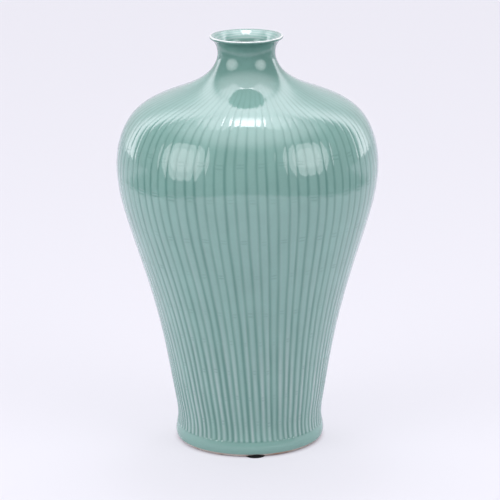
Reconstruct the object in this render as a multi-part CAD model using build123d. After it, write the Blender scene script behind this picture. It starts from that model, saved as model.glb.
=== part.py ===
from build123d import *
import os
from math import cos, hypot, radians, sin

# A celadon plum vase: high round shoulders over a long tapering body, a short waisted neck and a small
# flared mouth. It is made as a potter makes it: thrown pieces luted together with slip, then coated
# outside, inside and under the foot with glaze, and set on three soft rubber bumpers. Everything but
# the bumpers is a body of revolution about +Z. Millimetres, with the origin at the centre of the
# surface that the vase stands on. Sections are drawn as (radius, height) and swept about the axis.

# Driving dimensions
HEIGHT = 360.0
FOOT_RADIUS = 65.5
WAIST_RADIUS = 63.8
BELLY_RADIUS = 113.6
NECK_RADIUS = 24.9
NECK_WAIST = 345.0
MOUTH_RADIUS = 31.7
BORE_RADIUS = 19.4
GLAZE = 0.9
WALL = 4.6

# Foot and base
FOOT_HEIGHT = 0.7
GLAZE_LINE = 2.0
BAND_TOP = 13.4
BEARING_INNER = 54.5
BEARING_OUTER = 62.6
RECESS_ROOF = 10.6
RECESS_CORNER = 3.0
RECESS_DRAFT = 0.6
BASE_GLAZE = 0.5
BASE_GLAZE_LINE = 3.2
FLOOR = 18.4
FLOOR_RADIUS = 46.0
FLOOR_SWEEP = 11.0
DISC_RADIUS_BELOW = 43.0
DISC_RADIUS_ABOVE = 45.0

# Neck and lip
LIP = 1.3
FLARE = radians(30)
BORE_LOW = 337.0
BORE_HIGH = 350.0
NECK_SWEEP = 9.0

# Slip joints: the radius and height where each cone crosses the wall, and its rise per unit of radius
SLIP = 1.0
BELLY_JOINT = (90.0, 150.0, 0.35)
NECK_JOINT = (47.0, 317.0, 1.6)

# Soft bumpers, each squeezed up round the foot's outer edge
BUMPER_RADIUS = 9.0
BUMPER_HEIGHT = 3.8
BUMPER_BULGE = 0.8
BUMPER_CIRCLE = 57.7
BUMPER_TURNS = {
    "foot_bumper_front": 4.5,
    "foot_bumper_rear_right": 124.5,
    "foot_bumper_rear_left": 244.5,
}

# How many points an inset curve takes from the curve that it follows
FOLLOWED = 36
# Past every solid, in radius and height
BEYOND = 900.0


def lip_point(distance, angle):
    """The point at this distance and angle from the centre of the lip's round."""
    middle = (MOUTH_RADIUS - LIP, HEIGHT - LIP)
    return middle[0] + distance * cos(angle), middle[1] + distance * sin(angle)


def smooth(points, start, end):
    """A smooth curve through these points that sets out and arrives at unit speed in these headings."""
    headings = [(x / hypot(x, y), y / hypot(x, y)) for x, y in (start, end)]
    return Spline(*points, tangents=headings, tangent_scalars=[1, 1])


def glazed_outside():
    """The outer profile: the body from the glaze's lower edge to the neck's waist, then the flare."""
    body = [
        (64.45, GLAZE_LINE),
        (FOOT_RADIUS, 6.5),
        (64.6, 13.0),
        (WAIST_RADIUS, 20.0),
        (66.0, 40.0),
        (72.8, 80.0),
        (85.4, 135.0),
        (102.1, 190.0),
        (112.2, 230.0),
        (BELLY_RADIUS, 247.0),
        (110.4, 270.0),
        (97.8, 293.0),
        (72.2, 308.0),
        (44.0, 320.0),
        (29.5, 332.0),
        (NECK_RADIUS, NECK_WAIST),
    ]
    flare = [(NECK_RADIUS, NECK_WAIST), (27.5, 354.2), lip_point(LIP, FLARE - radians(90))]
    return [
        smooth(body, (0.35, 1), (0, 1)),
        smooth(flare, (0, 1), (cos(FLARE), sin(FLARE))),
    ]


def followed(line, depth):
    """Points along a line that runs up the wall, moved this far towards the inside of the vase."""
    points = []
    for step in range(FOLLOWED + 1):
        place = line @ (step / FOLLOWED)
        heading = line % (step / FOLLOWED)
        points.append((place.X - depth * heading.Y, place.Y + depth * heading.X))
    return points


def inset(line, depth):
    """The line moved this far towards the inside of the vase: straight stays straight."""
    points = followed(line, depth)
    if line.geom_type == GeomType.LINE:
        return Line(points[0], points[-1])
    start, end = line % 0, line % 1
    return smooth(points, (start.X, start.Y), (end.X, end.Y))


def clay_inside():
    """The clay's inner face, from the middle of the floor up the wall and bore to the lip."""
    floor = FLOOR - GLAZE
    bore = BORE_RADIUS + GLAZE
    wall = followed(glazed_outside()[0], GLAZE + WALL)
    wall = [point for point in wall if FLOOR + FLOOR_SWEEP < point[1] < BORE_LOW - NECK_SWEEP]
    lip_end = lip_point(LIP - GLAZE, FLARE + radians(90))
    return [
        Line((0, floor), (FLOOR_RADIUS, floor)),
        smooth([(FLOOR_RADIUS, floor), *wall, (bore, BORE_LOW)], (1, 0), (0, 1)),
        Line((bore, BORE_LOW), (bore, BORE_HIGH)),
        smooth([(bore, BORE_HIGH), lip_end], (0, 1), (cos(FLARE), sin(FLARE))),
    ]


def lip_round(distance):
    """The half round over the lip, from outside to inside, at this distance from its centre."""
    turns = (radians(-90), 0.0, radians(90))
    return ThreePointArc(*[lip_point(distance, FLARE + turn) for turn in turns])


def under_face(coat, lowest):
    """The hollow's face under the foot with a coat this thick, from its centre down to a height."""
    roof = RECESS_ROOF - coat
    side = BEARING_INNER - RECESS_DRAFT - coat
    inner = side - RECESS_CORNER
    below = roof - RECESS_CORNER
    middle = RECESS_CORNER * (1 - cos(radians(45)))
    splay = RECESS_DRAFT * (below - lowest) / (below - FOOT_HEIGHT)
    return [
        Line((0, roof), (inner, roof)),
        ThreePointArc((inner, roof), (side - middle, roof - middle), (side, below)),
        Line((side, below), (side + splay, lowest)),
    ]


def outline(*points):
    """A flat face from its corners."""
    return make_face(Polyline(*points, close=True))


def above(joint, rise=0.0):
    """Everything above a joint's cone, or above a cone this far over it."""
    radius, height, slope = joint
    lift = height + rise * hypot(1, slope)
    ends = [(r, lift + slope * (r - radius)) for r in (0.0, 2 * BELLY_RADIUS)]
    return outline(*ends, (2 * BELLY_RADIUS, BEYOND), (0.0, BEYOND))


def clay_sections():
    """The clay in section, parted into its thrown pieces and the rings of slip between them."""
    outer = [inset(line, GLAZE) for line in glazed_outside()]
    under = under_face(0.0, FOOT_HEIGHT)
    foot_end = under[-1] @ 1
    clay = make_face(
        [
            *outer,
            lip_round(LIP - GLAZE),
            *clay_inside(),
            Line((0, RECESS_ROOF), (0, FLOOR - GLAZE)),
            *under,
            Line(foot_end, (BEARING_OUTER, FOOT_HEIGHT)),
            Line((BEARING_OUTER, FOOT_HEIGHT), outer[0] @ 0),
        ]
    )
    disc = outline(
        (0, 0),
        (DISC_RADIUS_BELOW, 0),
        (DISC_RADIUS_BELOW, RECESS_ROOF),
        (DISC_RADIUS_ABOVE, FLOOR),
        (0, FLOOR),
    )
    foot = outline((0, 0), (BELLY_RADIUS, 0), (BELLY_RADIUS, BAND_TOP), (0, BAND_TOP))
    shell = clay - disc
    over_belly = above(BELLY_JOINT)
    over_belly_slip = above(BELLY_JOINT, SLIP)
    over_neck = above(NECK_JOINT)
    over_neck_slip = above(NECK_JOINT, SLIP)
    return {
        "base_disc": clay & disc,
        "foot_ring": shell & foot,
        "lower_wall": shell - foot - over_belly,
        "belly_slip": (shell & over_belly) - over_belly_slip,
        "upper_wall": (shell & over_belly_slip) - over_neck,
        "neck_slip": (shell & over_neck) - over_neck_slip,
        "neck": shell & over_neck_slip,
    }


def glaze_sections():
    """The coat outside and over the lip, the coat inside, and the coat in the hollow of the foot."""
    skin = glazed_outside()
    clay = [inset(line, GLAZE) for line in skin]
    lip_inside = Line(lip_round(LIP) @ 1, lip_round(LIP - GLAZE) @ 1)
    lower_end = Line(clay[0] @ 0, skin[0] @ 0)
    wall = clay_inside()
    coated = [inset(line, GLAZE) for line in wall]
    axis_inside = Line(wall[0] @ 0, coated[0] @ 0)
    under_clay = under_face(0.0, BASE_GLAZE_LINE)
    under_coat = under_face(BASE_GLAZE, BASE_GLAZE_LINE)
    under_ends = [Line(under_clay[0] @ 0, under_coat[0] @ 0), Line(under_clay[2] @ 1, under_coat[2] @ 1)]
    return {
        "outer_glaze": make_face(
            [*skin, lip_round(LIP), lip_inside, lip_round(LIP - GLAZE), *clay, lower_end]
        ),
        "inner_glaze": make_face([*wall, lip_inside, *coated, axis_inside]),
        "base_glaze": make_face([*under_clay, *under_coat, *under_ends]),
    }


def swept(section):
    """The solid that a section sweeps about the axis."""
    return revolve(Plane.XZ * section, Axis.Z, 360)


def bumper(turn, foot):
    """One soft bumper at this many degrees round from the front, shaped to the foot that sinks into it."""
    flat = BUMPER_RADIUS - BUMPER_BULGE
    section = make_face(
        [
            Line((0, 0), (flat, 0)),
            ThreePointArc((flat, 0), (BUMPER_RADIUS, BUMPER_HEIGHT / 2), (flat, BUMPER_HEIGHT)),
            Line((flat, BUMPER_HEIGHT), (0, BUMPER_HEIGHT)),
            Line((0, BUMPER_HEIGHT), (0, 0)),
        ]
    )
    whole = Rot(0, 0, turn) * Pos(0, -BUMPER_CIRCLE, 0) * swept(section)
    return whole - foot


nodes = {name: swept(section) for name, section in {**clay_sections(), **glaze_sections()}.items()}
foot = [nodes[name] for name in ("foot_ring", "outer_glaze", "base_glaze")]
nodes.update({name: bumper(turn, foot) for name, turn in BUMPER_TURNS.items()})

os.makedirs("parts", exist_ok=True)
for name, solid in nodes.items():
    solid.label = name
    export_step(solid, f"parts/{name}.step")
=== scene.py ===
"""A celadon plum vase with a carved slat pattern: glaze coats, bare clay, rubber bumpers and a plain studio.

Lengths on the vase are millimetres in the tables below and metres in the meshes. A point of the vase
is named by its height, its radius, and its turn in degrees from the front, growing towards +X.
"""

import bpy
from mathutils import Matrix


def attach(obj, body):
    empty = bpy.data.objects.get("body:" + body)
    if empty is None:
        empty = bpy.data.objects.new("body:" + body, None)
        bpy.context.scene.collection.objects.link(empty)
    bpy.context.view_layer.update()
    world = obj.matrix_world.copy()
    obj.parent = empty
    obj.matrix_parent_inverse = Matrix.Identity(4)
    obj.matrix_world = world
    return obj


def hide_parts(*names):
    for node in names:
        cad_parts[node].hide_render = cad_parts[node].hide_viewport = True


bl_info = {
    "name": "Celadon Plum Vase",
    "version": (1, 0, 0),
    "blender": (4, 5, 0),
    "location": "View3D > Sidebar > Vase",
    "description": "Glazes, clay and bumpers of a carved celadon vase, with a plain studio around it",
    "category": "Add Mesh",
}

import bpy
import numpy as np
from mathutils import Matrix

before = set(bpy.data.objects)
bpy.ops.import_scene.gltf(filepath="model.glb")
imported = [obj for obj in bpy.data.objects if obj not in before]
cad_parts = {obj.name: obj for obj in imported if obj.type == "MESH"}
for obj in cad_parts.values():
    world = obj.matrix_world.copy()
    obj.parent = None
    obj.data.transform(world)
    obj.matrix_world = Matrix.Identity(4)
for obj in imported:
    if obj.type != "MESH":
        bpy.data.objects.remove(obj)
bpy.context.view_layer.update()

# ---------------------------------------------------------------------------------------------------
# The thrown shape: (radius, height) points in millimetres that the outer surface passes through
# ---------------------------------------------------------------------------------------------------
BODY_POINTS = (
    (64.45, 2.0), (65.5, 6.5), (64.6, 13.0), (63.8, 20.0), (66.0, 40.0), (72.8, 80.0), (85.4, 135.0),
    (102.1, 190.0), (112.2, 230.0), (113.6, 247.0), (110.4, 270.0), (97.8, 293.0), (72.2, 308.0),
    (44.0, 320.0), (29.5, 332.0), (24.9, 345.0),
)
BODY_SETS_OUT = (0.35, 1.0)
UPRIGHT = (0.0, 1.0)
OUTWARD = (1.0, 0.0)
LIP_TILT = np.radians(30.0)
LIP_RADIUS = 1.3
LIP_CENTRE = (30.4, 358.7)
FLARE_MIDDLE = (27.5, 354.2)
GLAZE = 0.9
WALL = 4.6
FLOOR_HEIGHT = 18.4
FLOOR_RADIUS = 46.0
FLOOR_SWEEP = 11.0
BORE_RADIUS = 19.4
BORE_SPAN = (337.0, 350.0)
NECK_SWEEP = 9.0

# The hollow under the foot, and the foot's bearing edge
RECESS_ROOF = 10.6
RECESS_RADIUS = 54.5
RECESS_DRAFT = 0.6
RECESS_CORNER = 3.0
BASE_GLAZE = 0.5
BASE_GLAZE_LINE = 3.2
FOOT_HEIGHT = 0.7

# The bumpers: how far from the axis, how wide and how high, and each one's turn in degrees
BUMPER_CIRCLE = 57.7
BUMPER_RADIUS = 9.0
BUMPER_HEIGHT = 3.8
# The gap under the foot by radius, and how softly the bumper's top turns from its dome into that gap
BUMPER_GAP = (
    (40.0, 9.0), (53.2, 6.0), (54.0, 2.0), (55.2, 0.62), (62.2, 0.62), (63.2, 1.3), (64.6, 2.1), (65.45, 3.3),
    (65.9, 6.0), (70.0, 9.0),
)
BUMPER_ROUNDING = 0.25
BUMPER_TURNS = {
    "bumper_front": ("foot_bumper_front", 4.5),
    "bumper_rear_right": ("foot_bumper_rear_right", 124.5),
    "bumper_rear_left": ("foot_bumper_rear_left", 244.5),
}

# ---------------------------------------------------------------------------------------------------
# The carving
# ---------------------------------------------------------------------------------------------------
SLATS = 80
PITCH = 360.0 / SLATS
FIRST_SLAT = 1.6
# How far the slats lean round the vase: (height, degrees)
LEAN = (
    (2, 5.9), (15, 5.4), (58, 3.2), (100, 1.2), (148, -1.0), (200, -3.2), (240, -4.2), (270, -4.6),
    (292, -4.1), (304, -3.2), (310, -2.2), (318, 0.0), (326, 0.5), (361, 0.5),
)
# Groove depth and half width, the slats' crown, and how pale the slats' shoulders are, by height
GROOVE_DEPTH = (
    (13.3, 0.0), (14.6, 0.34), (60, 0.3), (100, 0.22), (150, 0.15), (200, 0.13), (240, 0.12), (290, 0.1),
    (310, 0.07), (322, 0.0),
)
GROOVE_SPREAD = ((15, 1.1), (60, 1.1), (100, 1.05), (150, 0.98), (240, 0.98), (290, 0.85), (310, 0.6))
CROWN = ((13.3, 0.0), (15, 0.1), (100, 0.09), (180, 0.05), (290, 0.04), (318, 0.0))
PALE_SHOULDERS = (
    (13.0, 0.0), (14.4, 0.95), (60, 1.0), (100, 0.72), (150, 0.42), (200, 0.22), (250, 0.1), (300, 0.05),
    (318, 0.0),
)
POOLING = (
    (13.3, 0.0), (14.2, 0.95), (60, 1.0), (150, 0.85), (250, 0.8), (292, 0.6), (312, 0.34), (325, 0.0),
)
# Where each slat's columns of points stand across it, from one groove line to the next
ACROSS = (0.0, 0.05, 0.105, 0.17, 0.26, 0.38, 0.5, 0.62, 0.74, 0.83, 0.895, 0.95)
# The double cuts, one slat wide: (height, 0 on even slats or 1 on odd ones)
DOUBLE_CUTS = (
    (30.0, 0), (55.0, 1), (79.5, 0), (108.0, 1), (135.5, 0), (172.0, 1), (204.0, 0), (241.0, 1), (271.0, 0),
)
CUT_HALF_GAP = 1.3
CUT_SPREAD = 0.42
CUT_DEPTH = 0.09
# Deepest that any carving may go, so that a skin of glaze is left over the clay
DEEPEST = 0.78
# How much of each slat's own unevenness shows, and how much of its own shade, by height
UNEVEN = ((13.3, 0), (20, 1), (290, 1), (318, 0))
SHADED = ((13, 0), (16, 1), (318, 0))
# How far from a groove's line the pale shoulders stand, and their spread
SHOULDER_PLACE = 2.05
SHOULDER_SPREAD = 0.72
# Where the lip's thin glaze starts and ends, in millimetres run past the end of the flare less this lead
LIP_LEAD = 1.3
THIN_FROM = (2.7, 3.7)
THIN_TO = (4.8, 5.3)

# The outer coat's pieces, from the foot up: name and upper edge as a height
COAT_PIECES = (
    ("glaze_foot_band", 15.0),
    ("glaze_lower", 125.0),
    ("glaze_belly", 250.0),
    ("glaze_shoulder", 325.0),
    ("glaze_neck", None),
)


# ---------------------------------------------------------------------------------------------------
# Curves
# ---------------------------------------------------------------------------------------------------
def clamped_curve(points, start, end, fineness=260):
    """Points on the cubic curve through `points` whose parameter is the running chord length.

    Each span is the Hermite cubic of its end points and slopes, the slopes make the curvature run on
    without a break, and the first and last slopes are the unit headings `start` and `end`.
    """
    points = np.asarray(points, float)
    start, end = (np.asarray(way, float) / np.hypot(*way) for way in (start, end))
    chord = np.hypot(*np.diff(points, axis=0).T)
    count = len(points)
    matrix = np.zeros((count, count))
    right = np.zeros((count, 2))
    matrix[0, 0] = matrix[-1, -1] = 1.0
    right[0], right[-1] = start, end
    inner = np.arange(1, count - 1)
    before, after = chord[:-1], chord[1:]
    matrix[inner, inner - 1] = 1 / before
    matrix[inner, inner] = 2 / before + 2 / after
    matrix[inner, inner + 1] = 1 / after
    rise = np.diff(points, axis=0)
    right[inner] = 3 * (rise[:-1] / before[:, None] ** 2 + rise[1:] / after[:, None] ** 2)
    slope = np.linalg.solve(matrix, right)
    t = np.linspace(0, 1, fineness + 1)[None, :, None]
    h = chord[:, None, None]
    p0, p1, m0, m1 = (a[:, None, :] for a in (points[:-1], points[1:], slope[:-1], slope[1:]))
    spans = (
        (2 * t**3 - 3 * t**2 + 1) * p0
        + (t**3 - 2 * t**2 + t) * h * m0
        + (3 * t**2 - 2 * t**3) * p1
        + (t**3 - t**2) * h * m1
    )
    return np.concatenate([spans[:, :-1].reshape(-1, 2), points[-1:]])


def lip_point(distance, angle):
    """Points at this distance and these angles from the centre of the lip's round."""
    return np.stack([LIP_CENTRE[0] + distance * np.cos(angle), LIP_CENTRE[1] + distance * np.sin(angle)], -1)


class Profile:
    """A line in section, looked up by the length run along it."""

    def __init__(self, points):
        steps = np.hypot(*np.diff(points, axis=0).T)
        keep = np.concatenate([[True], steps > 1e-9])
        self.points = points[keep]
        self.length = np.concatenate([[0.0], np.cumsum(np.hypot(*np.diff(self.points, axis=0).T))])
        heading = np.gradient(self.points, self.length, axis=0)
        self.heading = heading / np.hypot(*heading.T)[:, None]

    def at(self, length):
        """Radius and height at these lengths."""
        return np.interp(length, self.length, self.points[:, 0]), np.interp(length, self.length, self.points[:, 1])

    def facing(self, length):
        """The unit normal at these lengths, on the right-hand side of the way along the line."""
        r = np.interp(length, self.length, self.heading[:, 0])
        z = np.interp(length, self.length, self.heading[:, 1])
        size = np.hypot(r, z)
        return z / size, -r / size

    def moved(self, depth):
        """The line's points moved this far to its left."""
        return self.points + depth * np.stack([-self.heading[:, 1], self.heading[:, 0]], -1)


def outside_profile():
    """The outer surface from the glaze's lower edge up the body, out along the flare and over the lip."""
    body = clamped_curve(BODY_POINTS, BODY_SETS_OUT, UPRIGHT)
    leaving = (np.cos(LIP_TILT), np.sin(LIP_TILT))
    flare_end = lip_point(LIP_RADIUS, LIP_TILT - np.pi / 2)
    flare = clamped_curve((BODY_POINTS[-1], FLARE_MIDDLE, flare_end), UPRIGHT, leaving)
    rim = lip_point(LIP_RADIUS, LIP_TILT + np.linspace(-np.pi / 2, np.pi / 2, 400))
    return Profile(body), Profile(np.concatenate([body, flare[1:], rim[1:]]))


BODY_LINE, OUTSIDE = outside_profile()
RIM_LENGTH = OUTSIDE.length[-1] - np.pi * LIP_RADIUS


def inside_profile(coat):
    """The vessel's inner face with a coat this thick on it, from the middle of the floor to the lip."""
    floor = FLOOR_HEIGHT - GLAZE
    bore = BORE_RADIUS + GLAZE
    wall = BODY_LINE.moved(GLAZE + WALL)
    span = (wall[:, 1] > FLOOR_HEIGHT + FLOOR_SWEEP) & (wall[:, 1] < BORE_SPAN[0] - NECK_SWEEP)
    wall = wall[span][:: span.sum() // 30]
    side = clamped_curve([(FLOOR_RADIUS, floor), *wall, (bore, BORE_SPAN[0])], OUTWARD, UPRIGHT, 60)
    leaving = (np.cos(LIP_TILT), np.sin(LIP_TILT))
    rim = lip_point(LIP_RADIUS - GLAZE, LIP_TILT + np.pi / 2)
    throat = clamped_curve([(bore, BORE_SPAN[1]), rim], UPRIGHT, leaving, 60)
    ground = np.linspace((0.0, floor), (FLOOR_RADIUS, floor), 40)
    tube = np.linspace((bore, BORE_SPAN[0]), (bore, BORE_SPAN[1]), 30)
    line = Profile(np.concatenate([ground[:-1], side[:-1], tube[:-1], throat]))
    return Profile(line.moved(coat)) if coat else line


def recess_profile(coat):
    """The hollow's face under the foot with a coat this thick, from its centre down to the coat's edge."""
    roof = RECESS_ROOF - coat
    side = RECESS_RADIUS - RECESS_DRAFT - coat
    below = roof - RECESS_CORNER
    turn = np.linspace(np.pi / 2, 0, 60)
    inner = side - RECESS_CORNER
    corner = np.stack([inner + RECESS_CORNER * np.cos(turn), below + RECESS_CORNER * np.sin(turn)], -1)
    splay = RECESS_DRAFT * (below - BASE_GLAZE_LINE) / (below - FOOT_HEIGHT)
    roof_line = np.linspace((0.0, roof), (inner, roof), 60)
    wall = np.linspace((side, below), (side + splay, BASE_GLAZE_LINE), 40)
    return Profile(np.concatenate([roof_line, corner[1:], wall[1:]]))


def by_height(table, height):
    """A quantity read between the rows of a (height, value) table, or one whose first column is a radius."""
    rows = np.asarray(table, float)
    return np.interp(height, rows[:, 0], rows[:, 1])


def eased(x, low, high):
    """0 below low, 1 above high, and a smooth rise between."""
    t = np.clip((x - low) / (high - low), 0, 1)
    return t * t * (3 - 2 * t)


def hump(distance, spread):
    """A bell curve, 1 at no distance."""
    return np.exp(-0.5 * (distance / spread) ** 2)


def length_at(height):
    """How far up the body's outer line a height is reached."""
    return np.interp(height, BODY_LINE.points[:, 1], BODY_LINE.length)


# ---------------------------------------------------------------------------------------------------
# Meshes from grids
# ---------------------------------------------------------------------------------------------------
def turned(radius, height, degrees):
    """Points in metres at these radii and heights in millimetres and these turns from the front."""
    turn = np.radians(degrees)
    return np.stack([radius * np.sin(turn), -radius * np.cos(turn), height + 0 * turn], -1) / 1000


def made_object(name, points, faces, smooth=True):
    """An object from an array of points and a list of face arrays, each with its own corner count."""
    corners = np.concatenate([block.reshape(-1) for block in faces]).astype(np.int32)
    totals = np.concatenate([np.full(len(block), block.shape[1]) for block in faces])
    starts = np.concatenate([[0], np.cumsum(totals)[:-1]]).astype(np.int32)
    mesh = bpy.data.meshes.new(name)
    mesh.vertices.add(len(points))
    mesh.vertices.foreach_set("co", np.ascontiguousarray(points, np.float32).reshape(-1))
    mesh.loops.add(len(corners))
    mesh.loops.foreach_set("vertex_index", corners)
    mesh.polygons.add(len(starts))
    mesh.polygons.foreach_set("loop_start", starts)
    mesh.polygons.foreach_set("use_smooth", np.full(len(starts), smooth))
    mesh.update(calc_edges=True)
    if mesh.validate(verbose=False):
        raise RuntimeError(f"the mesh of {name} has bad faces")
    piece = bpy.data.objects.new(name, mesh)
    bpy.context.scene.collection.objects.link(piece)
    return piece


def ring_faces(rows, columns, closed):
    """Quads between neighbouring rows of a grid that closes round its columns, and round its rows if closed."""
    row = np.arange(rows if closed else rows - 1)[:, None]
    column = np.arange(columns)[None, :]
    after, beside = (row + 1) % rows, (column + 1) % columns
    quads = [row * columns + column, row * columns + beside, after * columns + beside, after * columns + column]
    return np.stack(quads, -1).reshape(-1, 4)


def capped_faces(rows, columns):
    """A grid's quads, and fans that close its first and last rows onto two points that follow the grid."""
    column = np.arange(columns)
    beside = (column + 1) % columns
    pole, last_row = rows * columns, (rows - 1) * columns
    first = np.stack([np.full(columns, pole), beside, column], -1)
    last = np.stack([np.full(columns, pole + 1), last_row + column, last_row + beside], -1)
    return [ring_faces(rows, columns, False), first, last]


def give_normals(piece, rows, columns, normals):
    """Lays these point normals on the first rows of a grid, and leaves the rest to the faces' own."""
    mesh = piece.data
    used = np.zeros((len(mesh.vertices), 3), np.float32)
    used[: normals.shape[0]] = normals
    corner = np.zeros(len(mesh.loops), np.int32)
    mesh.loops.foreach_get("vertex_index", corner)
    start = np.zeros(len(mesh.polygons), np.int32)
    mesh.polygons.foreach_get("loop_start", start)
    front = np.arange(len(mesh.polygons)) < (rows - 1) * columns
    loop_face = np.zeros(len(corner), np.int32)
    loop_face[start[1:]] = 1
    loop_face = np.cumsum(loop_face)
    loops = np.where(front[loop_face][:, None], used[corner], 0.0)
    ends = np.zeros(len(mesh.edges) * 2, np.int32)
    mesh.edges.foreach_get("vertices", ends)
    row = ends.reshape(-1, 2) // columns
    sharp = (row[:, 0] == row[:, 1]) & ((row[:, 0] == 0) | (row[:, 0] == rows - 1))
    mesh.attributes.new("sharp_edge", "BOOLEAN", "EDGE").data.foreach_set("value", sharp)
    mesh.normals_split_custom_set(loops)


def give_values(piece, **values):
    """Stores one number per point under each name, for the materials to read."""
    for name, numbers in values.items():
        attribute = piece.data.attributes.new(name, "FLOAT", "POINT")
        attribute.data.foreach_set("value", np.ascontiguousarray(numbers, np.float32).reshape(-1))


def lathe(name, line, columns):
    """A closed surface of revolution whose section starts and ends on the axis: rings and two poles."""
    radius, height = line[1:-1].T
    turn = np.arange(columns) * 360.0 / columns
    rings = turned(radius[:, None], height[:, None], turn[None, :]).reshape(-1, 3)
    poles = turned(np.zeros(2), line[[0, -1], 1], np.zeros(2))
    return made_object(name, np.concatenate([rings, poles]), capped_faces(len(radius), columns))


# ---------------------------------------------------------------------------------------------------
# The carved coat
# ---------------------------------------------------------------------------------------------------
def equal_parts(fine, rate, least=0):
    """Lengths that cut the running sum of rows per millimetre into equal parts."""
    total = np.concatenate([[0.0], np.cumsum((rate[1:] + rate[:-1]) / 2 * np.diff(fine))])
    count = max(least, int(np.ceil(total[-1])) + 1)
    return np.interp(np.linspace(0, total[-1], count), total, fine)


def row_lengths(low, high):
    """Where the coat's rows of points stand along the outside, between two lengths of the profile.

    The spacing is widest on the plain wall and finest at the double cuts, the glaze's lower edge, the
    grooves' square ends and the lip.
    """
    stops = [(length_at(h), gap) for h, gap in (
        (2.0, 0.2), (2.9, 0.24), (4.6, 1.3), (12.2, 1.3), (13.2, 0.3), (14.8, 0.3), (17, 2.4),
        (284, 3.2), (296, 2.2), (322, 1.9), (344, 1.5),
    )]
    for height, _ in DOUBLE_CUTS:
        centre = length_at(height)
        gap = 3.4 if height < 290 else 2.4
        stops += [(centre - 6.5, gap), (centre - 2.7, 0.46), (centre + 2.7, 0.46), (centre + 6.5, gap)]
    stops += [(RIM_LENGTH - 6.0, 1.2), (RIM_LENGTH - 0.5, 0.3), (RIM_LENGTH, 0.17), (OUTSIDE.length[-1], 0.17)]
    stops = np.array(sorted(stops))
    fine = np.linspace(low, high, 4000)
    return equal_parts(fine, 1 / np.exp(np.interp(fine, stops[:, 0], np.log(stops[:, 1]))))


def back_lengths(low, high):
    """Where the rows of the coat's clay side stand, close together only where the profile bends."""
    fine = np.linspace(low, high, 3000)
    r, z = OUTSIDE.facing(fine)
    bend = np.abs(np.gradient(np.unwrap(np.arctan2(z, r)), fine))
    return equal_parts(fine, np.clip(np.sqrt(bend) * 1.25, 1 / 14.0, 4.0), least=3)


class Carving:
    """The slats' irregular layout, drawn once from a fixed seed."""

    def __init__(self, seed):
        draw = np.random.default_rng(seed)
        self.shift = draw.uniform(-1, 1, SLATS) * 0.075 * PITCH
        self.wave = draw.uniform(0, 2 * np.pi, (6, SLATS))
        self.tone = draw.normal(0, 1, SLATS)
        self.pale = draw.uniform(0.25, 1.0, (2, SLATS))
        self.depth = draw.uniform(0.72, 1.15, SLATS)
        self.cut_offset = draw.uniform(-1.1, 1.1, (len(DOUBLE_CUTS), SLATS))
        self.cut_tilt = draw.uniform(-0.45, 0.45, (len(DOUBLE_CUTS), SLATS))
        self.cut_gap = draw.uniform(0.85, 1.2, (len(DOUBLE_CUTS), SLATS))
        self.cut_force = draw.uniform(0.35, 1.0, (len(DOUBLE_CUTS), SLATS))

    def groove_line(self, slat, height):
        """Degrees that a groove line strays from its place: a fixed shift and two slow waves up the wall."""
        slow = np.sin(height / 31.0 + self.wave[0, slat]) + 0.6 * np.sin(height / 17.0 + self.wave[1, slat])
        return self.shift[slat] + 0.016 * PITCH * slow

    def between(self, per_slat, slat, across):
        """A slat's own value, blended with its neighbour's within a fifth of its width of each groove."""
        left, right = eased(across, 0, 0.2), eased(1 - across, 0, 0.2)
        value = per_slat(slat)
        before, after = per_slat((slat - 1) % SLATS), per_slat((slat + 1) % SLATS)
        return value + (1 - left) * 0.5 * (before - value) + (1 - right) * 0.5 * (after - value)


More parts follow.
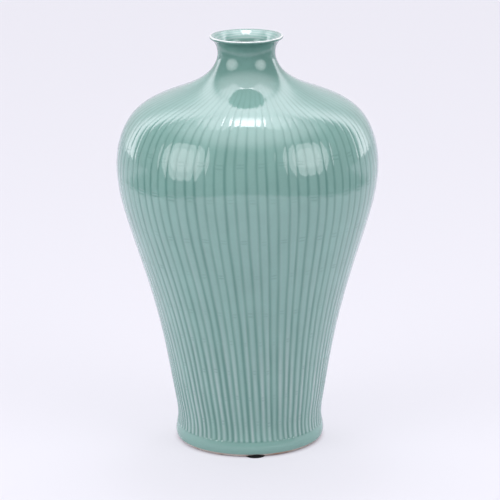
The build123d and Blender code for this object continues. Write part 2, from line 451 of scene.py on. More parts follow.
def carved_coat(form):
    """The whole outer surface as arrays of rows by columns: places, normals, what the glaze does there, and painted
    shade on the neck and under the lip.

    The columns run along the grooves: turn = first slat + pitch x (slat number + part across) + lean(height)
    + the groove lines' strays, shared out across the slat. Rows are nudged up or down slat by slat so that
    they follow each double cut. The surface is the thrown profile moved inwards by the groove's bell-shaped
    depth, the slat's crown, a slow unevenness of each slat, and the cuts.
    """
    carving = Carving(form.seed)
    edges = [0.0] + [
        OUTSIDE.length[-1] if height is None else length_at(height)
        for _, height in COAT_PIECES
    ]
    parts = [row_lengths(low, high) for low, high in zip(edges[:-1], edges[1:])]
    rows = np.concatenate([parts[0]] + [part[1:] for part in parts[1:]])
    slat, across = (a.reshape(-1)[None, :] for a in np.meshgrid(np.arange(SLATS), ACROSS, indexing="ij"))
    length = rows[:, None] + np.zeros_like(across)
    marks = []
    for number, (height, odd) in enumerate(DOUBLE_CUTS):
        centre = length_at(height)
        cut = carving.cut_offset[number] * (np.arange(SLATS) % 2 == odd)
        offset = carving.between(lambda k: cut[k], slat, across)
        length = length + offset * (1 - eased(np.abs(rows[:, None] - centre), 2.7, 8.2))
        marks.append((number, centre, odd))
    radius, height = OUTSIDE.at(length)
    normal_r, normal_z = OUTSIDE.facing(length)
    on_body = length < RIM_LENGTH - 12.0
    turn = carving.groove_line(slat, height) * (1 - across)
    turn = turn + carving.groove_line((slat + 1) % SLATS, height) * across
    turn = turn * (1 - eased(height, 318, 335)) + FIRST_SLAT + PITCH * (slat - 0.5 + across)
    turn = turn + by_height(LEAN, height)

    pitch = np.radians(PITCH) * radius
    from_left, from_right = across * pitch, (1 - across) * pitch
    nearest = np.minimum(from_left, from_right)
    spread = np.minimum(by_height(GROOVE_SPREAD, height), 0.17 * pitch)
    spread = spread * carving.between(lambda k: carving.depth[k], slat, across) ** 0.5
    bell = hump(nearest, spread)
    groove_strength = np.where(across < 0.5, carving.depth[slat], carving.depth[(slat + 1) % SLATS])
    groove_strength = groove_strength * (1 + 0.14 * np.sin(height / 9.0 + carving.wave[2, slat]))
    groove_strength = np.where(bell > 0.02, groove_strength, 1.0)
    carved = by_height(GROOVE_DEPTH, height) * bell * groove_strength * form.groove_depth
    crown = by_height(CROWN, height) * (2 * across - 1) ** 2 * form.groove_depth

    def unevenness(k):
        phase = carving.wave[:, k]
        return (
            np.sin(height / 13.0 + phase[3])
            + 0.7 * np.sin(height / 7.3 + phase[4])
            + 0.8 * np.sin(height / 23.0 + phase[5])
        )

    wobble = carving.between(unevenness, slat, across)
    wobble = (wobble + 2.5) * form.unevenness * by_height(UNEVEN, height)
    tilt = (across - 0.5) * np.sin(height / 11.0 + carving.wave[1, slat] * 3) * pitch * form.tilt
    tilt = tilt * np.sin(np.pi * across) * by_height(UNEVEN, height)

    cuts = np.zeros_like(height)
    for number, centre, odd in marks:
        along = rows[:, None] - centre + carving.cut_tilt[number][slat] * (across - 0.5) * 2
        half = CUT_HALF_GAP * carving.cut_gap[number][slat]
        lines = hump(np.abs(along) - half, CUT_SPREAD)
        window = eased(across, 0.03, 0.16) * eased(1 - across, 0.03, 0.16)
        cuts = cuts + lines * window * carving.cut_force[number][slat] * ((slat % 2) == odd)
    # the glaze's lower edge rolls round to the clay
    roll = GLAZE * (1 - np.sqrt(np.clip(1 - (1 - np.clip(length, 0, 1)) ** 2, 0, 1)))
    depth = np.where(on_body, carved + crown + wobble + tilt + CUT_DEPTH * cuts, 0.0)
    depth = np.clip(depth, -0.02, DEEPEST) + np.clip(roll, 0, DEEPEST)
    points = turned(radius - depth * normal_r, height - depth * normal_z, turn)

    around = np.roll(points, -1, 1) - np.roll(points, 1, 1)
    along = np.gradient(points, axis=0)
    normals = np.cross(around, along)
    normals /= np.linalg.norm(normals, axis=-1, keepdims=True)

    pooled = by_height(POOLING, height) * hump(nearest, spread * 1.02)
    pooled = pooled * np.clip(groove_strength, 0.6, 1.2)
    foot_pool = 0.3 * hump(height - 13.6, 0.5)
    # Painted shade: the neck below the lip's overhang and the lip's underside are darkened towards the groove colour,
    # where little light reaches
    neck_painted_shade = 0.5 * eased(height, 323, 334) + 0.4 * eased(height, 349, 356)
    pool = np.maximum(pooled, 0.5 * cuts) + np.where(on_body, foot_pool, 0)
    pool = np.maximum(pool, neck_painted_shade)
    wander = 0.75 + 0.25 * np.sin(height / 19.0 + carving.wave[4, slat])
    pale = by_height(PALE_SHOULDERS, height)
    left = hump(from_left - SHOULDER_PLACE, SHOULDER_SPREAD) * carving.pale[0, slat]
    right = hump(from_right - SHOULDER_PLACE, SHOULDER_SPREAD) * carving.pale[1, slat]
    lower_down = 1 + 0.15 * eased(120 - height, 0, 70)
    ridge = np.clip(pale * wander * (left + right) * lower_down, 0, 1)
    tone = carving.between(lambda k: carving.tone[k], slat, across) * by_height(SHADED, height)
    past_flare = length - (RIM_LENGTH - LIP_LEAD)
    thin = eased(past_flare, *THIN_FROM) * (1 - 0.8 * eased(past_flare, *THIN_TO))
    foot_thin = 1 - eased(length, 0.35, 1.5)
    values = {"pool": pool, "ridge": ridge, "tone": tone, "thin": thin, "foot_thin": foot_thin}
    bounds = np.cumsum([0] + [len(part) - 1 for part in parts])
    return points, normals, values, list(zip(bounds[:-1], bounds[1:])), edges


def coat_piece(name, whole, number):
    """One closed shell of the outer coat: its carved rows, then rows on the clay side back to the start."""
    points, normals, values, spans, edges = whole
    first, last = spans[number]
    columns = points.shape[1]
    front = points[first : last + 1]
    length = back_lengths(edges[number], edges[number + 1])[::-1]
    radius, height = OUTSIDE.at(length)
    normal_r, normal_z = OUTSIDE.facing(length)
    back_turn = by_height(LEAN, height)[:, None] - 0.5 * PITCH + FIRST_SLAT
    base = (np.arange(SLATS)[:, None] + np.array(ACROSS)[None, :]).reshape(-1) * PITCH
    back = turned(
        (radius - GLAZE * normal_r)[:, None], (height - GLAZE * normal_z)[:, None], back_turn + base[None, :]
    )
    rows, behind = front.shape[0], back.shape[0]
    grid = np.concatenate([front, back]).reshape(-1, 3)
    piece = made_object(name, grid, [ring_faces(rows + behind, columns, True)])
    give_normals(piece, rows, columns, normals[first : last + 1].reshape(-1, 3))
    for key, numbers in values.items():
        shown = np.zeros((rows + behind, columns), np.float32)
        shown[:rows] = numbers[first : last + 1]
        give_values(piece, **{key: shown})
    return piece


# ---------------------------------------------------------------------------------------------------
# Shader nodes
# ---------------------------------------------------------------------------------------------------
class Nodes:
    """Short ways to add and join nodes in one tree."""

    def __init__(self, tree):
        self.tree = tree
        tree.nodes.clear()

    def add(self, kind, inputs=(), **settings):
        """A node with these settings; inputs are (socket, value or output) pairs."""
        node = self.tree.nodes.new(kind)
        for key, value in settings.items():
            setattr(node, key, value)
        for socket, value in dict(inputs).items():
            self.put(node.inputs[socket], value)
        return node

    def put(self, socket, value):
        if isinstance(value, bpy.types.NodeSocket):
            self.tree.links.new(value, socket)
        else:
            socket.default_value = value

    def maths(self, operation, *values, clamp=False):
        node = self.add("ShaderNodeMath", operation=operation, use_clamp=clamp)
        for socket, value in zip(node.inputs, values):
            self.put(socket, value)
        return node.outputs[0]

    def blend(self, part, first, second, kind="MIX"):
        node = self.add("ShaderNodeMix", data_type="RGBA", blend_type=kind)
        self.put(node.inputs[0], part)
        self.put(node.inputs[6], first)
        self.put(node.inputs[7], second)
        return node.outputs[2]

    def ranged(self, value, low, high, out_low=0.0, out_high=1.0):
        node = self.add("ShaderNodeMapRange", interpolation_type="SMOOTHSTEP")
        for socket, number in zip(node.inputs, (value, low, high, out_low, out_high)):
            self.put(socket, number)
        return node.outputs[0]

    def span(self, x, y):
        """How far (x, y) is from the middle."""
        squares = [self.maths("POWER", part, 2.0) for part in (x, y)]
        return self.maths("SQRT", self.maths("ADD", *squares))

    def noise(self, where, scale, detail=2.0, roughness=0.5):
        node = self.add(
            "ShaderNodeTexNoise",
            {"Vector": where, "Scale": scale, "Detail": detail, "Roughness": roughness},
        )
        return node.outputs["Fac"]

    def place(self):
        return self.add("ShaderNodeTexCoord").outputs["Object"]

    def value(self, name):
        return self.add("ShaderNodeAttribute", attribute_name=name).outputs["Fac"]


def node_group(name, sockets, results, build):
    """A shader group with these (name, type, default) inputs and (name, type) outputs, filled in by build."""
    if name in bpy.data.node_groups:
        return bpy.data.node_groups[name]
    tree = bpy.data.node_groups.new(name, "ShaderNodeTree")
    for label, kind, default in sockets:
        socket = tree.interface.new_socket(name=label, in_out="INPUT", socket_type=kind)
        if default is not None:
            socket.default_value = default
    for label, kind in results:
        tree.interface.new_socket(name=label, in_out="OUTPUT", socket_type=kind)
    nodes = Nodes(tree)
    source = nodes.add("NodeGroupInput")
    target = nodes.add("NodeGroupOutput")
    for label, output in build(nodes, source.outputs).items():
        tree.links.new(output, target.inputs[label])
    return tree


VALUE, VECTOR, COLOUR = "NodeSocketFloat", "NodeSocketVector", "NodeSocketColor"


def mottle_group():
    """Glaze mottling: clouds of thicker and thinner glaze a few centimetres across, and a fine grain."""

    def build(nodes, given):
        clouds = nodes.noise(given["Place"], nodes.maths("DIVIDE", 1.0, given["Cloud size"]), 3.0, 0.55)
        grain = nodes.noise(given["Place"], nodes.maths("DIVIDE", 1.0, given["Grain size"]), 2.0, 0.6)
        cloud_part = nodes.maths("MULTIPLY", nodes.maths("SUBTRACT", clouds, 0.5), given["Clouds"])
        grain_part = nodes.maths("MULTIPLY", nodes.maths("SUBTRACT", grain, 0.5), given["Grain"])
        factor = nodes.maths("ADD", nodes.maths("ADD", cloud_part, grain_part), 1.0)
        scaled = nodes.add("ShaderNodeVectorMath", {0: given["Color"]}, operation="SCALE")
        nodes.put(scaled.inputs["Scale"], factor)
        return {"Color": scaled.outputs[0], "Thickness": factor}

    return node_group(
        "Glaze mottle",
        [("Place", VECTOR, None), ("Color", COLOUR, None), ("Cloud size", VALUE, 0.03), ("Clouds", VALUE, 0.2),
         ("Grain size", VALUE, 0.0016), ("Grain", VALUE, 0.08)],
        [("Color", COLOUR), ("Thickness", VALUE)],
        build,
    )


def speck_group():
    """Small round specks scattered at random: 1 inside a speck and 0 outside."""

    def build(nodes, given):
        cells = nodes.add("ShaderNodeTexVoronoi", {"Vector": given["Place"]})
        nodes.put(cells.inputs["Scale"], nodes.maths("DIVIDE", 1.0, given["Spacing"]))
        chosen = nodes.add("ShaderNodeSeparateColor", {"Color": cells.outputs["Color"]}).outputs[0]
        keep = nodes.maths("LESS_THAN", chosen, given["Share"])
        size = nodes.maths("DIVIDE", given["Speck size"], given["Spacing"])
        near = nodes.maths("DIVIDE", cells.outputs["Distance"], size)
        inside = nodes.ranged(near, 1.0, 0.4)
        return {"Speck": nodes.maths("MULTIPLY", inside, keep)}

    return node_group(
        "Scattered specks",
        [("Place", VECTOR, None), ("Spacing", VALUE, 0.01), ("Speck size", VALUE, 0.0004), ("Share", VALUE, 0.3)],
        [("Speck", VALUE)],
        build,
    )


def glaze_surface_group():
    """The glaze's skin: a slow orange-peel waviness with pinholes sunk in it, as a height in metres."""

    def build(nodes, given):
        wave = nodes.noise(given["Place"], nodes.maths("DIVIDE", 1.0, given["Wave size"]), 1.0, 0.4)
        peel = nodes.noise(given["Place"], nodes.maths("DIVIDE", 1.0, given["Peel size"]), 1.0, 0.4)
        high = nodes.maths("MULTIPLY", wave, given["Wave height"])
        low = nodes.maths("MULTIPLY", peel, given["Peel height"])
        hole = nodes.maths("MULTIPLY", given["Pinholes"], 0.00004)
        return {"Height": nodes.maths("SUBTRACT", nodes.maths("ADD", high, low), hole)}

    return node_group(
        "Glaze skin",
        [("Place", VECTOR, None), ("Wave size", VALUE, 0.012), ("Wave height", VALUE, 0.00002),
         ("Peel size", VALUE, 0.0025), ("Peel height", VALUE, 0.000002), ("Pinholes", VALUE, 0.0)],
        [("Height", VALUE)],
        build,
    )


def grain_group():
    """Fired clay: fine grit in the colour, a flush of warmer colour in patches, and the grit's height."""

    def build(nodes, given):
        grit = nodes.noise(given["Place"], 1600.0, 3.0, 0.7)
        patch = nodes.noise(given["Place"], 45.0, 3.0, 0.6)
        flushed = nodes.blend(nodes.ranged(patch, 0.4, 0.68), given["Body"], given["Flush"])
        shade = nodes.ranged(grit, 0.25, 0.75, 0.84, 1.1)
        scaled = nodes.add("ShaderNodeVectorMath", {0: flushed}, operation="SCALE")
        nodes.put(scaled.inputs["Scale"], shade)
        return {"Color": scaled.outputs[0], "Height": nodes.maths("MULTIPLY", grit, given["Grit"])}

    return node_group(
        "Fired clay grain",
        [("Place", VECTOR, None), ("Body", COLOUR, None), ("Flush", COLOUR, None), ("Grit", VALUE, 0.00005)],
        [("Color", COLOUR), ("Height", VALUE)],
        build,
    )


def new_material(name):
    material = bpy.data.materials.new(name)
    material.use_nodes = True
    return material, Nodes(material.node_tree)


def with_group(nodes, tree, **inputs):
    node = nodes.add("ShaderNodeGroup", node_tree=tree)
    for label, value in inputs.items():
        nodes.put(node.inputs[label.replace("_", " ")], value)
    return node


def finish_material(nodes, colour, height=None, roughness=0.5, bump=1.0, **sockets):
    """A Principled surface on the output, with a bump from a height in metres."""
    shader = nodes.add("ShaderNodeBsdfPrincipled")
    nodes.put(shader.inputs["Base Color"], colour)
    nodes.put(shader.inputs["Roughness"], roughness)
    for label, value in sockets.items():
        nodes.put(shader.inputs[label.replace("_", " ")], value)
    if height is not None:
        lift = nodes.add("ShaderNodeBump", {"Strength": bump, "Distance": 1.0, "Height": height})
        nodes.put(shader.inputs["Normal"], lift.outputs[0])
    nodes.add("ShaderNodeOutputMaterial", {"Surface": shader.outputs[0]})


# Iron specks in the glaze
SPECK = (0.09, 0.1, 0.07, 1)


def celadon(finish):
    """The carved coat: pale where it runs thin over a slat's shoulders, darker and greener where it pools, and the
    same dark green painted as shade on the neck and under the lip.
    """
    material, nodes = new_material("celadon_carved")
    place = nodes.place()
    pool, ridge, thin = nodes.value("pool"), nodes.value("ridge"), nodes.value("thin")
    tone, foot_thin = nodes.value("tone"), nodes.value("foot_thin")
    colour = nodes.blend(nodes.maths("MULTIPLY", ridge, 0.8), (*finish.slat, 1), (*finish.ridge, 1))
    warm = nodes.ranged(tone, -1.6, 1.6)
    colour = nodes.blend(nodes.maths("MULTIPLY", warm, 0.3), colour, (*finish.warm_slat, 1))
    # This blend also paints shade on the neck and under the lip in the groove colour
    colour = nodes.blend(nodes.maths("MULTIPLY", pool, 1.0, clamp=True), colour, (*finish.groove, 1))
    mottled = with_group(
        nodes, mottle_group(), Place=place, Color=colour, Cloud_size=0.022, Clouds=0.16, Grain_size=0.0017,
        Grain=0.07,
    )
    specks = with_group(nodes, speck_group(), Place=place, Spacing=0.017, Speck_size=0.00045, Share=0.28)
    colour = nodes.blend(nodes.maths("MULTIPLY", specks.outputs[0], 0.5), mottled.outputs[0], SPECK)
    edge_wave = nodes.noise(place, 160.0, 2.0)
    at_rim = nodes.maths("MULTIPLY", thin, nodes.ranged(edge_wave, 0.2, 0.6, 0.8, 1.0))
    colour = nodes.blend(at_rim, colour, (*finish.rim, 1))
    colour = nodes.blend(foot_thin, colour, (*finish.foot_edge, 1))
    skin = with_group(
        nodes, glaze_surface_group(), Place=place, Wave_size=0.016, Wave_height=0.00006, Peel_size=0.0022,
        Peel_height=0.0000012, Pinholes=specks.outputs[0],
    )
    gloss = nodes.maths("MULTIPLY_ADD", nodes.noise(place, 90.0, 2.0), 0.03, finish.roughness)
    finish_material(nodes, colour, skin.outputs[0], gloss, IOR=1.5)
    return material


def celadon_plain(finish, name, rings):
    """The same glaze on an uncarved face, with faint turning rings that show where it is thin."""
    material, nodes = new_material(name)
    place = nodes.place()
    parts = nodes.add("ShaderNodeSeparateXYZ", {0: place}).outputs
    run = nodes.maths("ADD", nodes.span(parts[0], parts[1]), parts[2])
    ring = nodes.maths("SINE", nodes.maths("MULTIPLY", run, 2 * np.pi / 0.0042))
    ring = nodes.maths("MULTIPLY", ring, nodes.noise(place, 30.0, 2.0))
    colour = nodes.blend(nodes.ranged(ring, -0.4, 0.5, 0.0, 0.5), (*finish.slat, 1), (*finish.ridge, 1))
    mottled = with_group(
        nodes, mottle_group(), Place=place, Color=colour, Cloud_size=0.02, Clouds=0.2, Grain_size=0.0016, Grain=0.08
    )
    specks = with_group(nodes, speck_group(), Place=place, Spacing=0.014, Speck_size=0.0005, Share=0.4)
    colour = nodes.blend(nodes.maths("MULTIPLY", specks.outputs[0], 0.6), mottled.outputs[0], SPECK)
    near_lip = nodes.ranged(parts[2], 0.3588, 0.3600, 0.0, 0.12)
    colour = nodes.blend(near_lip, colour, (*finish.rim, 1))
    skin = with_group(
        nodes, glaze_surface_group(), Place=place, Wave_size=0.013, Wave_height=0.00003, Peel_size=0.0022,
        Peel_height=0.0000015, Pinholes=specks.outputs[0],
    )
    height = nodes.maths("ADD", skin.outputs[0], nodes.maths("MULTIPLY", ring, rings))
    gloss = nodes.maths("MULTIPLY_ADD", nodes.noise(place, 90.0, 2.0), 0.04, finish.roughness)
    finish_material(nodes, colour, height, gloss, IOR=1.5)
    return material


def bare_clay(name, body, flush, turning, grit):
    """Unglazed porcelain with throwing rings up the wall."""
    material, nodes = new_material(name)
    place = nodes.place()
    up = nodes.add("ShaderNodeSeparateXYZ", {0: place}).outputs[2]
    warp = nodes.maths("MULTIPLY_ADD", nodes.noise(place, 20.0, 2.0), 0.004, up)
    ring = nodes.maths("SINE", nodes.maths("MULTIPLY", warp, 2 * np.pi / 0.0034))
    clay = with_group(nodes, grain_group(), Place=place, Body=(*body, 1), Flush=(*flush, 1), Grit=grit)
    height = nodes.maths("ADD", clay.outputs["Height"], nodes.maths("MULTIPLY", ring, turning))
    rough = nodes.ranged(nodes.noise(place, 300.0, 2.0), 0.3, 0.7, 0.72, 0.86)
    finish_material(nodes, clay.outputs["Color"], height, rough)
    return material


def bumper_rubber(finish):
    """Black rubber, matt, with pale dust caught in its fine grain."""
    material, nodes = new_material("bumper_rubber")
    place = nodes.place()
    dust = nodes.noise(place, 420.0, 4.0, 0.7)
    grain = nodes.noise(place, 2600.0, 2.0, 0.6)
    colour = nodes.blend(nodes.ranged(dust, 0.6, 0.85, 0.0, 0.25), (*finish.rubber, 1), (0.03, 0.03, 0.032, 1))
    rough = nodes.ranged(dust, 0.35, 0.7, 0.8, 0.95)
    finish_material(nodes, colour, nodes.maths("MULTIPLY", grain, 0.00004), rough, Specular_IOR_Level=0.2)
    return material


# ---------------------------------------------------------------------------------------------------
# What a user can change
# ---------------------------------------------------------------------------------------------------
def colour_property(name, description, default):
    return bpy.props.FloatVectorProperty(
        name=name, description=description, default=default, size=3, min=0, max=1, subtype="COLOR"
    )


class VaseCarving(bpy.types.PropertyGroup):
    """The carved slats."""

    seed: bpy.props.IntProperty(name="Seed", description="Which irregular layout the slats take", default=11)
    groove_depth: bpy.props.FloatProperty(
        name="Groove depth", description="Share of the full depth that the grooves are cut to", default=1.0,
        min=0, max=1.1, subtype="FACTOR",
    )
    unevenness: bpy.props.FloatProperty(
        name="Unevenness", description="Slow rise and fall of each slat's face, in millimetres", default=0.022,
        min=0, max=0.05,
    )
    tilt: bpy.props.FloatProperty(
        name="Tilt", description="How far each slat's face leans from side to side as it climbs", default=0.006,
        min=0, max=0.03,
    )


class VaseFinish(bpy.types.PropertyGroup):
    """The glaze, clay and rubber."""

    slat: colour_property("Slat", "Glaze on the face of a slat", (0.182, 0.335, 0.293))
    warm_slat: colour_property("Greyer slat", "Glaze on the slats that fired greyer", (0.24, 0.35, 0.33))
    # This groove colour is also painted as shade on the neck and under the lip
    groove: colour_property("Groove", "Glaze pooled in the grooves and cuts", (0.10, 0.22, 0.19))
    ridge: colour_property("Ridge", "Glaze run thin beside a groove", (0.34, 0.43, 0.415))
    rim: colour_property("Rim", "Thin glaze over the lip", (0.66, 0.71, 0.69))
    foot_edge: colour_property("Foot edge", "Thin edge of the glaze above the foot", (0.42, 0.37, 0.33))
    biscuit: colour_property("Biscuit", "Unglazed porcelain", (0.62, 0.56, 0.50))
    flush: colour_property("Flush", "Kiln flush on the unglazed foot", (0.42, 0.27, 0.20))
    rubber: colour_property("Rubber", "The bumpers", (0.004, 0.004, 0.0045))
    roughness: bpy.props.FloatProperty(
        name="Glaze roughness", description="Micro roughness of the fired glaze", default=0.035, min=0, max=1,
        subtype="FACTOR",
    )


class VaseStudio(bpy.types.PropertyGroup):
    """The camera, the lamps and the room."""

    camera_distance: bpy.props.FloatProperty(
        name="Camera distance", description="From the vase's axis, level", default=2.152, unit="LENGTH"
    )
    camera_height: bpy.props.FloatProperty(
        name="Camera height", description="Above the table", default=0.7665, unit="LENGTH"
    )
    camera_dip: bpy.props.FloatProperty(
        name="Camera dip", description="How far the camera looks down", default=np.radians(15.51), unit="ROTATION"
    )
    camera_roll: bpy.props.FloatProperty(
        name="Camera roll", description="Turn about the line of sight", default=np.radians(-0.514), unit="ROTATION"
    )
    lens: bpy.props.FloatProperty(
        name="Lens", description="Focal length in millimetres on a 36 mm frame", default=183.78, min=20, max=400
    )
    lamp_strength: bpy.props.FloatProperty(
        name="Lamp strength", description="Brightness of the two round lamps", default=1.0, min=0, max=5
    )
    room_dark: bpy.props.FloatProperty(
        name="Dark room", description="Brightness of the room in front of the table", default=0.045, min=0, max=5
    )
    room_bright: bpy.props.FloatProperty(
        name="Bright room", description="Brightness of the room beside and behind the table", default=3.7, min=0
    )
    fill: bpy.props.FloatProperty(
        name="Fill", description="Soft light from overhead, which the glaze doesn't mirror", default=1.05, min=0,
        max=5,
    )
    ceiling: bpy.props.FloatProperty(
        name="Ceiling", description="Brightness of the ceiling as the glaze mirrors it", default=3.1, min=0, max=9
    )
    backdrop: colour_property("Backdrop", "What shows behind the vase", (0.889, 0.888, 0.957))
    table: colour_property("Table", "Pale surface under the vase", (0.7, 0.69, 0.74))


# ---------------------------------------------------------------------------------------------------
# The pieces
# ---------------------------------------------------------------------------------------------------
def settle(piece, slot, material, *nodes):
    """Puts a finished piece in the model: its material and its body, and hides the CAD nodes that it stands in for.
    The slot is not used.
    """
    piece.data.materials.append(material)
    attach(piece, "root")
    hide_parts(*nodes)


class VASE_OT_carved_coat(bpy.types.Operator):
    """Make the outer glaze with its carved slats, as five shells from the foot to the lip"""

    bl_idname = "vase.carved_coat"
    bl_label = "Carved outer glaze"

    def execute(self, context):
        whole = carved_coat(context.scene.vase_carving)
        material = celadon(context.scene.vase_finish)
        for number, (name, _) in enumerate(COAT_PIECES):
            settle(coat_piece(name, whole, number), "celadon_glaze", material, "outer_glaze")
        return {"FINISHED"}


def coat_section(profile, coat, face_rows, clay_rows):
    """A coat's closed section: its shown face out from the axis, then its clay side back to the axis."""
    face, clay = (
        np.stack(line.at(line.length[-1] * np.linspace(0, 1, rows)), -1)
        for line, rows in ((profile(coat), face_rows), (profile(0.0), clay_rows))
    )
    face[0, 0] = clay[0, 0] = 0.0
    return np.concatenate([face, clay[::-1]])


class VASE_OT_plain_coats(bpy.types.Operator):
    """Make the glaze inside the vessel and the glaze in the hollow of the foot"""

    bl_idname = "vase.plain_coats"
    bl_label = "Inner and base glazes"

    def execute(self, context):
        finish = context.scene.vase_finish
        inside = lathe("glaze_inside", coat_section(inside_profile, GLAZE, 260, 90)[::-1], 256)
        settle(inside, "celadon_glaze", celadon_plain(finish, "celadon_inside", 0.00003), "inner_glaze")
        under = lathe("glaze_under_foot", coat_section(recess_profile, BASE_GLAZE, 90, 60), 192)
        settle(under, "celadon_glaze", celadon_plain(finish, "celadon_under_foot", 0.00002), "base_glaze")
        return {"FINISHED"}


class VASE_OT_bare_clay(bpy.types.Operator):
    """Give the thrown clay pieces and the slip rings between them their fired surfaces"""

    bl_idname = "vase.bare_clay"
    bl_label = "Clay and slip"

    def execute(self, context):
        finish = context.scene.vase_finish
        body, flush = tuple(finish.biscuit), tuple(finish.flush)
        coats = {
            ("foot_ring",): bare_clay("biscuit_foot", body, flush, 0.00002, 0.00006),
            ("lower_wall", "upper_wall", "neck", "base_disc"): bare_clay(
                "biscuit_wall", body, (0.60, 0.49, 0.41), 0.00005, 0.00005
            ),
            ("belly_slip", "neck_slip"): bare_clay("joint_slip", (0.66, 0.61, 0.55), body, 0.00001, 0.00003),
        }
        for names, material in coats.items():
            for name in names:
                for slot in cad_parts[name].material_slots:
                    slot.material = material
        return {"FINISHED"}


def bumper_mesh(name, degrees):
    """A squeezed rubber button as a closed grid in rings about its own middle.

    The underside is flat with a rounded edge. The top is a low dome that dips under the foot: its height
    at each point is the lesser of the dome's and the gap left by the foot there, with the corner between
    them rounded, and outside the foot it swells up against the glaze.
    """
    columns = 96
    part = np.concatenate([np.linspace(0.04, 0.86, 26), 0.86 + 0.14 * np.sin(np.linspace(0.1, np.pi / 2, 9))])
    turn = np.arange(columns) * 2 * np.pi / columns
    spoke, around = np.meshgrid(part, turn, indexing="ij")
    reach = (BUMPER_RADIUS - 0.02) * spoke
    x, y = reach * np.sin(around), -BUMPER_CIRCLE - reach * np.cos(around)
    radius = np.hypot(x, y)
    dome = 0.25 + (BUMPER_HEIGHT - 0.3) * np.sqrt(np.clip(1 - spoke**3.2, 0, 1))
    gap = by_height(BUMPER_GAP, radius)
    top = -BUMPER_ROUNDING * np.log(np.exp(-dome / BUMPER_ROUNDING) + np.exp(-gap / BUMPER_ROUNDING))
    top = np.minimum(np.minimum(top, dome), gap)
    edge = np.clip((1 - spoke) / 0.1, 0, 1)
    low = 0.3 * (1 - np.sqrt(1 - (1 - edge) ** 2))
    rings = np.concatenate([np.stack([x, y, low], -1), np.stack([x, y, np.maximum(top, low + 0.1)], -1)[::-1]])
    centre = np.array([[0, -BUMPER_CIRCLE, 0], [0, -BUMPER_CIRCLE, 0.6]])
    points = np.concatenate([rings.reshape(-1, 3), centre]) / 1000
    angle = np.radians(degrees)
    spin = np.array([[np.cos(angle), -np.sin(angle), 0], [np.sin(angle), np.cos(angle), 0], [0, 0, 1]])
    return made_object(name, points @ spin.T, capped_faces(len(rings), columns))


class VASE_OT_bumpers(bpy.types.Operator):
    """Make the three rubber bumpers squeezed under the foot"""

    bl_idname = "vase.bumpers"
    bl_label = "Rubber bumpers"

    def execute(self, context):
        material = bumper_rubber(context.scene.vase_finish)
        for name, (node, turn) in BUMPER_TURNS.items():
            settle(bumper_mesh(name, turn), "bumper_rubber", material, node)
        return {"FINISHED"}


# ---------------------------------------------------------------------------------------------------
# The studio
# ---------------------------------------------------------------------------------------------------
# The round lamps: degrees above level, degrees round from the camera's side, and how wide in degrees
LAMPS = (("left", 20.3, -59.0, 46.0), ("right", 22.5, 56.0, 42.0))
LAMP_DISTANCE = 1.7
LAMP_AIM = 0.25
# Each lamp's discs: share of its width, brightness, and how much nearer the vase they stand
LAMP_RINGS = ((1.0, 3.6, 0.0), (0.62, 2.0, 0.02))
LAMP_COLOUR = (0.97, 0.97, 1.0)

# The room, by the parts of the unit direction: where its bright rear starts, and how far that edge lies
# back higher up. Then the far wall's share of the brightness, and the walls' share as matt things get it
REAR_EDGE = (0.39, 0.52)
REAR_LEAN = 0.09
FAR_WALL = 0.24
WALLS_ON_MATT = 0.6
# The overhead panel: where its upper edge falls off, and how bright its core and its wider skirt are
PANEL_TOP = (0.976, 0.970)
PANEL_CORE = 9.5
PANEL_SKIRT = 2.2
ROOM_COLOUR = (0.97, 0.93, 1.0, 1)

# The table in metres: half width and half length of its lit oval, and how far back the oval's middle is
TABLE_OVAL = (0.75, 1.58)
TABLE_MIDDLE = 0.3
# Where the foot's shadow gives way to the even glow, the glow's share, and the table's shade as seen
FOOT_SHADOW = (0.060, 0.069)
TABLE_GLOW = 0.68
TABLE_SHADE = 0.87
TABLE_REACH = 9.0
CAMERA_SHIFT = 0.0036


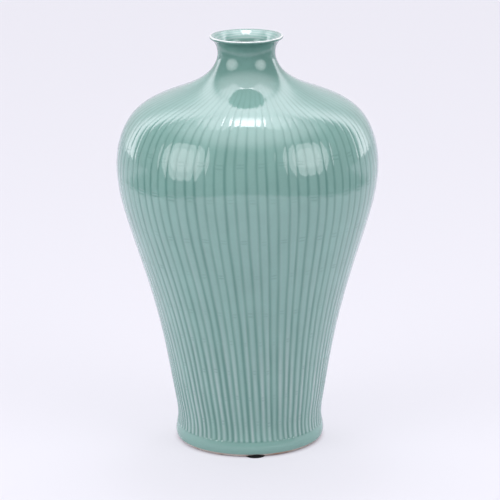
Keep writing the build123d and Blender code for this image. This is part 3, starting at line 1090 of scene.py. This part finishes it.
def room_shader(studio):
    """The room by direction: dark in front, bright beside and behind, and a bright panel up behind the vase.

    What the glaze mirrors and what lights matt things are set apart, and the camera sees a plain backdrop.
    """
    world = bpy.data.worlds.new("studio_room")
    world.use_nodes = True
    nodes = Nodes(world.node_tree)
    way = nodes.add("ShaderNodeTexCoord").outputs["Generated"]
    x, y, z = nodes.add("ShaderNodeSeparateXYZ", {0: way}).outputs
    ray = nodes.add("ShaderNodeLightPath").outputs
    lean = nodes.ranged(z, 0.0, 0.3, 0.0, REAR_LEAN)
    rear = nodes.ranged(nodes.maths("SUBTRACT", y, lean), *REAR_EDGE)
    side = nodes.maths("ABSOLUTE", x)
    top_edge = nodes.ranged(z, *PANEL_TOP)
    core = nodes.maths("MULTIPLY", nodes.ranged(side, 0.115, 0.075), nodes.ranged(z, 0.85, 0.935))
    skirt = nodes.maths("MULTIPLY", nodes.ranged(side, 0.36, 0.24), nodes.ranged(z, 0.78, 0.85))
    panel = nodes.maths("ADD", nodes.maths("MULTIPLY", core, PANEL_CORE), nodes.maths("MULTIPLY", skirt, PANEL_SKIRT))
    panel = nodes.maths("MULTIPLY", nodes.maths("MULTIPLY", panel, top_edge), nodes.ranged(y, 0.1, 0.14))
    far = nodes.maths("MULTIPLY", nodes.ranged(y, 0.6, 0.86), nodes.ranged(z, -0.16, 0.0))
    wall = nodes.ranged(far, 0.0, 1.0, studio.room_bright, FAR_WALL * studio.room_bright)
    walls = nodes.maths("MULTIPLY", rear, wall)
    ceiling = nodes.ranged(z, 0.62, 0.985, 0.0, studio.ceiling)
    fill = nodes.maths("ADD", nodes.ranged(z, 0.45, 1.0, 0.0, studio.fill), nodes.ranged(z, -0.05, 0.2, 0.1, 0.22))
    mirrored = nodes.maths("MAXIMUM", nodes.maths("ADD", ceiling, studio.room_dark), walls)
    diffused = nodes.maths("ADD", fill, nodes.maths("MULTIPLY", walls, WALLS_ON_MATT))
    total = nodes.add("ShaderNodeMix", {0: ray["Is Glossy Ray"], 2: diffused, 3: mirrored}).outputs[0]
    total = nodes.maths("ADD", total, panel)
    room = nodes.add("ShaderNodeBackground", {"Color": ROOM_COLOUR, "Strength": total})
    seen = nodes.add("ShaderNodeBackground", {"Color": (*studio.backdrop, 1), "Strength": 1.0})
    mix = nodes.add("ShaderNodeMixShader")
    nodes.put(mix.inputs[0], ray["Is Camera Ray"])
    nodes.put(mix.inputs[1], room.outputs[0])
    nodes.put(mix.inputs[2], seen.outputs[0])
    nodes.add("ShaderNodeOutputWorld", {"Surface": mix.outputs[0]})
    return world


def table_material(studio):
    """The pale table: evenly lit to the eye with a soft shadow at the foot, and painted dark outside its lit oval as
    shade where the room is unlit.
    """
    material, nodes = new_material("studio_table")
    place = nodes.place()
    x, y, _ = nodes.add("ShaderNodeSeparateXYZ", {0: place}).outputs
    # Painted shade: outside this oval, in front and to the sides, the table's colour falls to black for the unlit
    # room that the glaze mirrors
    across = nodes.maths("POWER", nodes.maths("DIVIDE", x, TABLE_OVAL[0]), 2.0)
    behind = nodes.maths("SUBTRACT", y, TABLE_MIDDLE)
    along = nodes.maths("POWER", nodes.maths("DIVIDE", behind, TABLE_OVAL[1]), 2.0)
    inside = nodes.ranged(nodes.maths("ADD", across, along), 1.15, 0.85)
    lit = nodes.maths("MAXIMUM", inside, nodes.ranged(y, 0.3, 0.7))
    grain = nodes.ranged(nodes.noise(place, 700.0, 3.0, 0.6), 0.3, 0.7, 0.985, 1.01)
    shade = nodes.maths("MULTIPLY", lit, grain)
    tinted = nodes.add("ShaderNodeVectorMath", {0: tuple(studio.table)}, operation="SCALE")
    ray = nodes.add("ShaderNodeLightPath").outputs["Is Camera Ray"]
    as_seen = nodes.ranged(ray, 0.0, 1.0, 1.0, TABLE_SHADE)
    nodes.put(tinted.inputs["Scale"], nodes.maths("MULTIPLY", shade, as_seen))
    matt = nodes.add("ShaderNodeBsdfDiffuse", {"Color": tinted.outputs[0]})
    glow = nodes.add("ShaderNodeEmission", {"Color": (*studio.backdrop, 1), "Strength": 1.0})
    even = nodes.ranged(nodes.span(x, y), *FOOT_SHADOW, 0.0, TABLE_GLOW)
    mix = nodes.add("ShaderNodeMixShader")
    nodes.put(mix.inputs[0], nodes.maths("MULTIPLY", ray, even))
    nodes.put(mix.inputs[1], matt.outputs[0])
    nodes.put(mix.inputs[2], glow.outputs[0])
    nodes.add("ShaderNodeOutputMaterial", {"Surface": mix.outputs[0]})
    return material


class VASE_OT_studio(bpy.types.Operator):
    """Set up the table, the two round lamps, the room and the camera"""

    bl_idname = "vase.studio"
    bl_label = "Studio"

    def execute(self, context):
        studio = context.scene.vase_studio
        corners = TABLE_REACH * np.array([(-1.0, -1.0, 0.0), (1.0, -1.0, 0.0), (1.0, 1.0, 0.0), (-1.0, 1.0, 0.0)])
        table = made_object("studio_table", corners, [np.arange(4)[None, :]], smooth=False)
        table.data.materials.append(table_material(studio))
        for side, rise, round_from_camera, spread in LAMPS:
            up, turn = np.radians(rise), np.radians(round_from_camera)
            way = np.array([np.sin(turn) * np.cos(up), -np.cos(turn) * np.cos(up), np.sin(up)])
            for ring, (part, bright, nearer) in enumerate(LAMP_RINGS):
                lamp = bpy.data.lights.new(f"lamp_{side}_{ring}", "AREA")
                lamp.shape = "DISK"
                distance = LAMP_DISTANCE - nearer
                lamp.size = 2 * distance * np.tan(np.radians(part * spread / 2))
                lamp.energy = bright * studio.lamp_strength * np.pi * np.pi * lamp.size**2 / 4
                lamp.color = LAMP_COLOUR
                holder = bpy.data.objects.new(lamp.name, lamp)
                context.scene.collection.objects.link(holder)
                holder.location = way * distance + np.array([0, 0, LAMP_AIM])
                aim = Matrix(np.stack(lamp_axes(way), 1).tolist())
                holder.rotation_euler = aim.to_euler()
        context.scene.world = room_shader(studio)
        camera = bpy.data.cameras.new("camera")
        camera.sensor_width = 36.0
        camera.lens = studio.lens
        camera.shift_x = CAMERA_SHIFT
        eye = bpy.data.objects.new("camera", camera)
        context.scene.collection.objects.link(eye)
        eye.matrix_world = (
            Matrix.Translation((0, -studio.camera_distance, studio.camera_height))
            @ Matrix.Rotation(np.pi / 2 - studio.camera_dip, 4, "X")
            @ Matrix.Rotation(studio.camera_roll, 4, "Z")
        )
        context.scene.camera = eye
        context.scene.view_settings.view_transform = "Standard"
        return {"FINISHED"}


def lamp_axes(way):
    """Three unit axes with the last one pointing along `way`, so that a lamp shines back down it."""
    right = np.cross((0, 0, 1), way)
    right /= np.linalg.norm(right)
    return right, np.cross(way, right), way


STEPS = (
    VASE_OT_studio,
    VASE_OT_bare_clay,
    VASE_OT_carved_coat,
    VASE_OT_plain_coats,
    VASE_OT_bumpers,
)


class VASE_PT_panel(bpy.types.Panel):
    """Every step of the vase, with what can be changed in it"""

    bl_idname = "VASE_PT_panel"
    bl_label = "Celadon Plum Vase"
    bl_space_type = "VIEW_3D"
    bl_region_type = "UI"
    bl_category = "Vase"

    def draw(self, context):
        for step in STEPS:
            self.layout.operator(step.bl_idname)
        for group in (context.scene.vase_carving, context.scene.vase_finish, context.scene.vase_studio):
            box = self.layout.box()
            for name in group.__annotations__:
                box.prop(group, name)


GROUPS = {"vase_carving": VaseCarving, "vase_finish": VaseFinish, "vase_studio": VaseStudio}


def register():
    for kind in (*GROUPS.values(), *STEPS, VASE_PT_panel):
        bpy.utils.register_class(kind)
    for name, kind in GROUPS.items():
        setattr(bpy.types.Scene, name, bpy.props.PointerProperty(type=kind))


def unregister():
    for name in GROUPS:
        delattr(bpy.types.Scene, name)
    for kind in reversed((*GROUPS.values(), *STEPS, VASE_PT_panel)):
        bpy.utils.unregister_class(kind)


def main():
    register()
    bpy.ops.vase.studio()
    bpy.ops.vase.bare_clay()
    bpy.ops.vase.carved_coat()
    bpy.ops.vase.plain_coats()
    bpy.ops.vase.bumpers()


if __name__ == "__main__":
    main()
